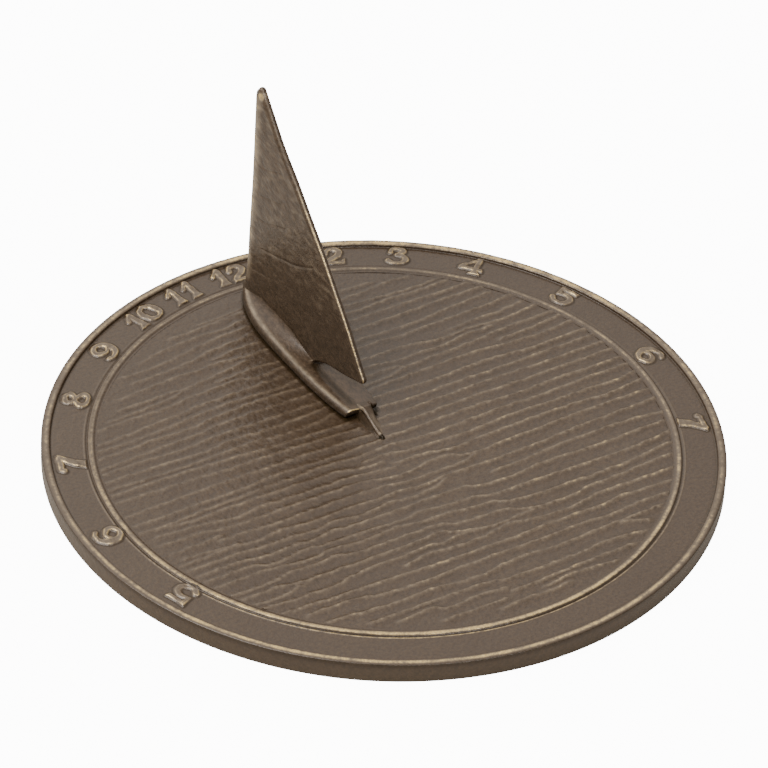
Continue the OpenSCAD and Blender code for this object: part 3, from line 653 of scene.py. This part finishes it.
# The skirt's outer wall is darkened from just below the bead downwards as painted shade; all below 3 mm under
# the rim's top is made a little paler.
gold = gold - 0.3 * smooth(126.5, 126.8, rr) * smooth(-1.5, -0.5, z) + 0.06 * smooth(-1, -3, z)
swelled = (rr + grit) / rr
plate.patch(np.stack([swelled * x, swelled * y, z + dents], -1), np.clip(gold, -1, 1.2), around=True)

# Underside: a flat web with a central boss, its tapped hole and two counterbores
SCREWS = (62.0, 86.0)
BOSS_R = 9.0
TAP_R = 2.1
TAP_END = 4.6 - RIM_TOP
COUNTERBORE_R = 4.6
COUNTERBORE_END = 4.0 - RIM_TOP
SHANK_R = 2.25
SHANK_END = 5.5 - RIM_TOP
loops = [circle(WEB_R, turns // 4), circle(BOSS_R, 64)]
loops += [circle(COUNTERBORE_R, 48, screw) for screw in SCREWS]
flat = np.vstack(loops)
edges = []
start = 0
for loop in loops:
    edges += [(start + i, start + (i + 1) % len(loop)) for i in range(len(loop))]
    start += len(loop)
cut = delaunay_2d_cdt([Vector(p) for p in flat], edges, [], 0, 1e-4)
web = np.array([[*p, WEB_Z] for p in cut[0]])
faces = []
for face in cut[2]:
    middle = web[list(face)].mean(0)
    clear = all(np.hypot(middle[0], middle[1] - screw) > COUNTERBORE_R for screw in SCREWS)
    if clear and np.hypot(*middle[:2]) > BOSS_R:
        faces.append(list(face)[::-1])
plate.loose(web, faces)


def turned(profile, y=0.0, count=48):
    """A patch turned round an upright axis at y from [radius, height] pairs."""
    return np.array([np.hstack([circle(r, count, y), np.full((count, 1), z)]) for r, z in profile])


boss = [(BOSS_R, WEB_Z), (BOSS_R, -RIM_TOP + 0.3), (BOSS_R - 0.3, -RIM_TOP), (TAP_R + 0.3, -RIM_TOP),
        (TAP_R, -RIM_TOP + 0.3), (TAP_R, TAP_END), (0.05, TAP_END)]
plate.patch(turned(boss, count=64), around=True)
bore = [(COUNTERBORE_R, WEB_Z), (COUNTERBORE_R, COUNTERBORE_END), (SHANK_R, COUNTERBORE_END),
        (SHANK_R, SHANK_END)]
for screw in SCREWS:
    plate.patch(turned(bore, screw), around=True)

plate.build("dial_plate_casting", "dial_plate", plate_metal)

# Boat
boat = Skin()
GUNWALE = 2.5
BULKHEAD = 51.0


stations = np.concatenate([np.linspace(STERN, STERN + 0.8, 14), np.linspace(STERN + 0.8, 20.5, 14)[1:],
                           np.linspace(20.5, 49.5, 60)[1:],
                           np.linspace(49.5, 52.5, 22)[1:], np.linspace(52.5, 98, 60)[1:],
                           98 + (BOW - 0.05 - 98) * np.sin(np.linspace(0, math.pi / 2, 22))[1:]])
share = np.sin(np.linspace(-math.pi / 2, math.pi / 2, 141))
width = half_beam(stations)[:, None]
x = width * share[None, :]
y = np.repeat(stations[:, None], share.size, 1)
a = np.abs(x)
deck = GUNWALE + (0.3 + 1.3 * smooth(BULKHEAD, BULKHEAD + 24, y)) * (1 - (a / width) ** 2)
reach = np.clip(width - 2.4, 0.5, 5.2)
flank = np.clip(1 - (a - 1.2) / reach, 0, 1)
deck = deck + 0.9 * reach * (1 - np.sqrt(1 - 0.998 * flank ** 2)) * smooth(BULKHEAD - 1, BULKHEAD + 20, y)
rim_round = np.minimum(np.where(x < 0, 2.0, 0.25), width / 2)
edge = np.clip((a - (width - rim_round)) / rim_round, 0, 1)
fall = 0.85 * rim_round * (1 - np.sqrt(1 - edge ** 2 * 0.999))
astern = smooth(STERN + 14, STERN + 0.6, y)
scoop = GUNWALE + 0.2 - (1.4 - 0.75 * astern) * smooth(-4.8, 0.4, x)
lead = np.clip(a - 1.5, 0, None)
hollow = smooth(0.2, -0.7 - 0.9 * lead, y - BULKHEAD + 0.25 * lead)
top = deck * (1 - hollow) + np.minimum(scoop, deck) * hollow - fall
lip = np.clip(1 - (y - STERN) / 0.4, 0, 1)
top = top - 0.4 * (np.sqrt(lip ** 2 + 0.04) - 0.2)
# A pale band along the port gunwale only and a bared spot on the bulkhead's top edge: rubbing and also
# painted highlights.
rubbed_and_painted_light = 0.36 * bump(a, width - 1.6, 0.9) * (x < 0) + 0.7 * bump(y, BULKHEAD + 0.5, 0.4) * bump(x, -0.3, 1.9)
# Gold along the port half of the transom's top edge: rubbing and also a painted highlight.
stern_edge = smooth(STERN + 0.5, STERN + 0.25, y) * smooth(STERN, STERN + 0.05, y)
stern_edge = stern_edge * smooth(-6.2, -4.8, x) * (x < 1)
rubbed_and_painted_light = rubbed_and_painted_light + stern_edge
# Painted shade: a dark strip along the cockpit, just port of the middle.
rubbed_and_painted_light = rubbed_and_painted_light - 0.55 * hollow * bump(x, -1.8, 2.2) * smooth(STERN + 1, STERN + 4, y)
# Painted shade along the outermost edge of the port gunwale.
rubbed_and_painted_light = rubbed_and_painted_light - 0.3 * smooth(1.2, 0.3, width - a) * (x < 0)
ramp_dip = smooth(STERN + 2.6, STERN, y) * smooth(-0.2, 0.8, x) * smooth(5.0, 4.6, x)
top = top - 1.6 * ramp_dip
edge_z = top[:, :1]
side_rows = []
low = FIELD_Z - 0.4
for t in np.linspace(0, 1, 9)[:-1]:
    inset = 1.1 * smooth(0.62, 0.1, t)
    row_z = (low + (edge_z - low) * t)[:, 0]
    side_rows.append(np.stack([-np.maximum(width - inset, 0.02)[:, 0], stations, row_z], -1))
port = np.stack(side_rows, 1)
starboard = port[:, ::-1].copy()
starboard[:, :, 0] *= -1
hull = np.concatenate([port, np.stack([x, y, top], -1), starboard], 1)
# Painted contact shadow: the hull's sides darken towards their foot.
foot_painted_shadow = -0.9 * smooth(0.9, -0.9, port[:, :, 2])
wear_and_painted_light = np.concatenate([foot_painted_shadow, rubbed_and_painted_light, foot_painted_shadow[:, ::-1]], 1)
deck_polish = 0.8 * np.maximum(hollow * smooth(-0.2, 1.0, x), stern_edge)
polished = np.concatenate([0 * foot_painted_shadow, deck_polish, 0 * foot_painted_shadow], 1)
hull[:, :, 0] *= 1 + 0.04 * (hull[:, :, 0] > 0) * smooth(40, STERN, hull[:, :, 1])
hull[:, :, 1] += 1.4 * smooth(1.0, -1.3, hull[:, :, 2]) * smooth(STERN + 4, STERN, hull[:, :, 1])
# Painted shade under the transom's starboard corner.
wear_and_painted_light = wear_and_painted_light - 1.6 * pocket_with_painted_shade(hull[:, :, 0], hull[:, :, 1]) * smooth(2.4, 1.2, hull[:, :, 2])
boat.patch(hull[:, ::-1], np.clip(wear_and_painted_light, -1, 1)[:, ::-1], polished[:, ::-1], around=True, caps=(0,))

# Rudder: [y, height] along its crest, which falls to the dial's centre. Its port face is steep,
# and on the starboard side a smooth ramp flows from the cockpit's floor down to the field.
RUDDER_CREST = [(23.0, 0.4), (21.2, 1.9), (19.6, 2.3), (18.0, 2.75), (16.6, 3.3), (15.2, 3.5), (13.8, 3.15),
                (10.1, 1.8), (5.7, 0.2), (3.3, -0.05), (2.7, -0.3), (2.1, -0.9), (1.6, -1.5), (1.4, -1.9)]
ROUND = 0.9
line = curve_through(RUDDER_CREST, 6)
y, crest = line[:, :1], line[:, 1:]
foot = FIELD_Z - 0.4
port_foot = -2.4 + 0.5 * smooth(14, 19, y)
across = np.linspace(0, 1, 14)[None, :]
port_x = port_foot + (-ROUND - port_foot) * across
port_z = foot + (crest - ROUND - foot) * across ** 1.5
turn_over = np.linspace(math.pi, math.pi / 2, 9)[None, :]
back_x = ROUND * np.cos(turn_over) + 0 * y
back_z = crest - ROUND + ROUND * np.sin(turn_over)
out = 1 - (1 - np.linspace(0, 1, 40)[None, 1:]) ** 2
reach = np.interp(y, [2, 8, STERN, 22], [3.0, 5.2, 5.0, 4.6])
flow = 1 - smooth(np.interp(y, [4, 11, 16], [0.15, 0.3, 0.8]), 1.0, out)
ramp_x = out * reach
slope = np.clip((y - 3.0) / (STERN - 3.0), 0, 1)
ramp_level = foot + 0.3 + (1.7 - foot) * slope ** 2 - 1.5 * smooth(20.3, 21.5, y)
ramp_top = ramp_level + (crest - ramp_level) * smooth(1.7, 0, ramp_x)
ramp_z = foot + (ramp_top - foot) * flow
faces = [(port_x, port_z), (back_x, back_z), (ramp_x, ramp_z)]
section = np.concatenate([np.stack([face_x, y + 0 * face_x, face_z], -1) for face_x, face_z in faces], 1)
section[:, :, 2] = np.maximum(section[:, :, 2], foot)
along, beside = section[:, :, 1], section[:, :, 0]
# The crest is bared pale, most at its head and at a spot near its end: rubbing and also a painted highlight.
wear_and_painted_light = bump(beside, -0.1, 0.8) * (0.14 + 0.5 * bump(along, 17.2, 1.2) + 0.5 * bump(along, 3.9, 0.5))
# Painted shade on the lower part of the steep port face.
wear_and_painted_light = wear_and_painted_light - 0.35 * smooth(-0.8, -1.5, beside)
# Painted highlight: the ramp beside the rudder's head is lightened.
wear_and_painted_light = wear_and_painted_light + 0.14 * smooth(0.9, 2.0, beside) * smooth(16.5, 13.0, along)
# Painted shade on the rudder's blunt end.
wear_and_painted_light = wear_and_painted_light - 0.95 * smooth(3.5, 2.9, along)
# Painted shade under the transom's starboard corner.
wear_and_painted_light = np.clip(wear_and_painted_light - 1.1 * pocket_with_painted_shade(beside, along), -1, 1)
boat.patch(section, wear_and_painted_light, smooth(0.3, 1.2, beside), around=True, caps=(0, -1))

# Sail: [y, height] of the middle of its rounded edges
LUFF = [(105.0, -1.2), (104.6, 2.5), (103.6, 4.9), (103.0, 9.3), (102.3, 15.3), (101.9, 20), (101.6, 28.8),
        (100.8, 44.3), (100.2, 55.6), (99.9, 66.8), (99.7, 77.8), (99.4, 88.8), (98.8, 95.1), (96.9, 97.9)]
LEECH = [(96.9, 97.9), (91.2, 91.5), (81.7, 80.9), (70.8, 71.3), (60.5, 61.3), (50.0, 51.4), (40.4, 41.1),
         (30.7, 30.7), (21.9, 19.9), (18.0, 15.4)]
FOOT = [(18.0, 15.4), (20.9, 14.4), (29.9, 11.5), (42.4, 8.1), (50.4, 3.9), (55.4, 0.1), (57.0, -1.2)]
EDGE = 1.5
BELLY = 0.25
outline = [tuple(p) for line in (LUFF, LEECH, FOOT) for p in curve_through(line, 6)[:-1]] + [FOOT[-1]]


def sail_gap(y, z):
    """Signed distance to the line along the middle of the sail's edges, negative inside it."""
    return distance_to_shape(y, z, outline)


levels = np.concatenate([np.linspace(-0.9, 17, 120), np.linspace(17, 97, 260)[1:],
                         np.linspace(97, 99.38, 18)[1:]])
luff = curve_through(LUFF, 6)
leech = curve_through(LEECH, 6)[::-1]
foot = curve_through(FOOT, 6)[::-1]
rear_line = np.vstack([foot, leech[1:]])
front_at = np.interp(levels, luff[:, 1], luff[:, 0])
rear_at = np.interp(levels, rear_line[:, 1], rear_line[:, 0])


def edge_of(start, direction):
    """Where each level leaves the sail, going from start in that direction."""
    near = start.copy()
    far = start + direction * 9.0
    for _ in range(26):
        middle = (near + far) / 2
        outside = sail_gap(middle, levels) > EDGE
        far = np.where(outside, middle, far)
        near = np.where(outside, near, middle)
    return near


front = edge_of(front_at, 1.0)
rear = edge_of(rear_at, -1.0)
columns = 200
place = (1 - np.cos(np.linspace(0, math.pi, columns))) / 2
y = rear[:, None] + (front - rear)[:, None] * place[None, :]
z = np.repeat(levels[:, None], columns, 1)
gap = sail_gap(y, z)
half = np.where(gap > 0, np.sqrt(np.clip(EDGE ** 2 - gap ** 2, 0, None)), EDGE + BELLY * smooth(0, 14, -gap))
ahead = np.clip((front[:, None] - y) / np.minimum(8.0, 0.5 * (front - rear))[:, None], 0, 1)
half = np.minimum(half, (EDGE + BELLY) * np.sqrt(1 - (1 - ahead) ** 2))

# Seams of the sail: [y, height] along each from the luff backwards, and how deep it is
SEAMS = [([(94.0, 66.1), (88.4, 67.5), (79.3, 71.9)], 0.7),
         ([(93.7, 52.9), (87.8, 55.0), (75.8, 59.2)], 0.7),
         ([(94.7, 42.1), (87.2, 43.9), (72.5, 50.1)], 0.6),
         ([(92.5, 29.2), (86.5, 30.9), (77.2, 33.9), (68.0, 37.0), (58.9, 41.4), (51.8, 45.7)], 1.0),
         ([(99, 15.4), (91.9, 17.7), (70.5, 25.1), (65.3, 26.8)], 0.4)]


def seam_relief(y, z):
    """Panel seams of the sail: a shallow groove with a soft lip under it."""
    relief = np.zeros(y.shape)
    for points, depth in SEAMS:
        line = curve_through(points, 8)
        beside = z - np.interp(y, line[::-1, 0], line[::-1, 1])
        low, high = line[:, 0].min(), line[:, 0].max()
        ends = smooth(low, low + 3, y) * smooth(high, high - 2, y)
        relief += depth * ends * (-0.3 * bump(beside, 0, 0.35) + 0.04 * bump(beside, -1.2, 1.0))
    return relief


half = np.maximum(half + seam_relief(y, z) * smooth(0.3, -1.0, gap), 0)
rough = 0.05 * noise(y / 2, z, 1.4, 21) + 0.06 * noise(y / 2, z, 2.8, 23) + 0.07 * noise(y / 2, z, 7, 22)
port = np.stack([-half - rough * smooth(0.4, -0.5, gap), y, z], -1)
starboard = np.stack([half, y, z], -1)[:, ::-1][:, 1:-1]
spot = np.hypot(y - 95.6, z - 96.2)
# A pale strip along the luff on both faces: a painted sheen. The bright spot at the tip is bared gold.
luff_strip = 0.5 * smooth(8.0, 2.0, front[:, None] - y) * smooth(98, 92, z) * smooth(4, 12, z)
bright = 0.95 * smooth(2.2, 0.8, spot) + luff_strip
# Port face only: a painted highlight along the leech's rounded edge.
at_leech = (y - rear[:, None] < 3.5) & (z > 12)
rubbed_and_painted_light = at_leech * bump(half, 0.55, 0.25) * (0.2 + 0.9 * smooth(78, 58, z))
mottle = 0.18 * noise(y / 2, z, 1.6, 31) * smooth(0, 3, y - rear[:, None])
# Port face only: painted shade darkens the lower sail; the mottle is random tone.
rubbed_and_painted_light = rubbed_and_painted_light - 0.16 * smooth(42, 15, z) + mottle * smooth(0, 3, front[:, None] - y)
boat.patch(np.concatenate([port, starboard], 1),
           np.concatenate([bright + rubbed_and_painted_light, bright[:, ::-1][:, 1:-1]], 1), around=True, caps=(-1,))
boat.build("gnomon_casting", "gnomon", boat_metal)

for name in ("gnomon_screws", "lock_washers"):
    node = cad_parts[name]
    node.data.materials.clear()
    node.data.materials.append(fastener_steel)

# Camera: found from the plate's circles, the hour lines and the boat
ELEVATION, DISTANCE = math.radians(38.08), 1.4872
YAW, PITCH_DOWN, ROLL = math.radians(0.09), math.radians(37.30), math.radians(3.17)
NOON = math.radians(-33.36)
turn_to_noon = Matrix.Rotation(NOON, 3, "Z")
back = Vector((math.sin(YAW) * math.cos(PITCH_DOWN), -math.cos(YAW) * math.cos(PITCH_DOWN),
               math.sin(PITCH_DOWN)))
level_right = Vector((math.cos(YAW), math.sin(YAW), 0))
level_up = back.cross(level_right)
right = level_right * math.cos(ROLL) + level_up * math.sin(ROLL)
up = level_up * math.cos(ROLL) - level_right * math.sin(ROLL)
axes = turn_to_noon @ Matrix((right, up, back)).transposed()
eye = turn_to_noon @ Vector((0, -math.cos(ELEVATION) * DISTANCE, math.sin(ELEVATION) * DISTANCE))
eye = eye * INNER_SCALE + Vector(OFF_CENTRE * MM)
eye.z += RIM_TOP * MM
camera_data = bpy.data.cameras.new("camera")
camera_data.sensor_width = 36.0
camera_data.lens = 187.5
camera = bpy.data.objects.new("camera", camera_data)
camera.matrix_world = Matrix.Translation(eye) @ axes.to_4x4()
camera_data.clip_start, camera_data.clip_end = 0.01, 50.0
bpy.context.collection.objects.link(camera)
bpy.context.scene.camera = camera

# Floor and light: the floor is white to the camera and much darker in reflections
FLOOR_GLOW = 0.1
FLOOR_SEEN = 12.0
FLOOR_HALF = 6.0
floor_material, tree, paint = node_tree("floor_white")
paint.inputs["Base Color"].default_value = (0.52, 0.475, 0.41, 1)
paint.inputs["Roughness"].default_value = 0.9
paint.inputs["Specular IOR Level"].default_value = 0.1
paint.inputs["Emission Color"].default_value = (1, 1, 1, 1)
seen = tree.nodes.new("ShaderNodeLightPath")
glow = between(tree, seen.outputs["Is Camera Ray"], 0.0, 1.0, FLOOR_GLOW, FLOOR_SEEN)
tree.links.new(glow, paint.inputs["Emission Strength"])
floor_mesh = bpy.data.meshes.new("floor")
floor_corners = [(x * FLOOR_HALF, y * FLOOR_HALF, 0) for x, y in ((-1, -1), (1, -1), (1, 1), (-1, 1))]
floor_mesh.from_pydata(floor_corners, [], [(0, 1, 2, 3)])
floor_mesh.materials.append(floor_material)
floor = bpy.data.objects.new("floor", floor_mesh)
floor.location.z = -0.0001
bpy.context.collection.objects.link(floor)

world = bpy.data.worlds.new("studio")
bpy.context.scene.world = world
world.use_nodes = True
sky = world.node_tree
toward = add(sky, "ShaderNodeTexCoord").outputs["Generated"]
backdrop = add(sky, "ShaderNodeVectorMath", {0: toward, 1: (0.55, 0.835, 0.0)}, operation="DOT_PRODUCT")
height = add(sky, "ShaderNodeSeparateXYZ", {"Vector": toward}).outputs["Z"]
level = add(sky, "ShaderNodeMapRange", {"Value": height, "From Min": 0.0, "From Max": 0.55, "To Min": 0.35,
                                        "To Max": 1.3}, interpolation_type="SMOOTHSTEP").outputs["Result"]
behind = between(sky, backdrop.outputs["Value"], -0.7, 0.3, 0.4, 1.0)
sideways = add(sky, "ShaderNodeVectorMath", {0: toward, 1: (0.835, -0.55, 0.0)}, operation="DOT_PRODUCT")
leftward = between(sky, sideways.outputs["Value"], -0.35, 0.45, 1.30, 0.54)
strength = add(sky, "ShaderNodeMath", {0: times(sky, level, behind), 1: leftward}, operation="MULTIPLY")
sky.links.new(strength.outputs["Value"], sky.nodes["Background"].inputs["Strength"])
sky.nodes["Background"].inputs["Color"].default_value = (1.0, 0.96, 0.895, 1)


def softbox(name, place, target, width, height, power):
    data = bpy.data.lights.new(name, "AREA")
    data.shape = "RECTANGLE"
    data.size, data.size_y = width, height
    data.energy = power
    light = bpy.data.objects.new(name, data)
    light.location = place
    light.rotation_euler = (Vector(target) - Vector(place)).to_track_quat("-Z", "Y").to_euler()
    bpy.context.collection.objects.link(light)


softbox("overhead", (-0.8, 0.15, 1.3), (0, 0, 0), 1.0, 1.0, 17)
softbox("front", (0.0, -1.45, 1.5), (0, 0.06, 0.06), 0.5, 0.6, 12)
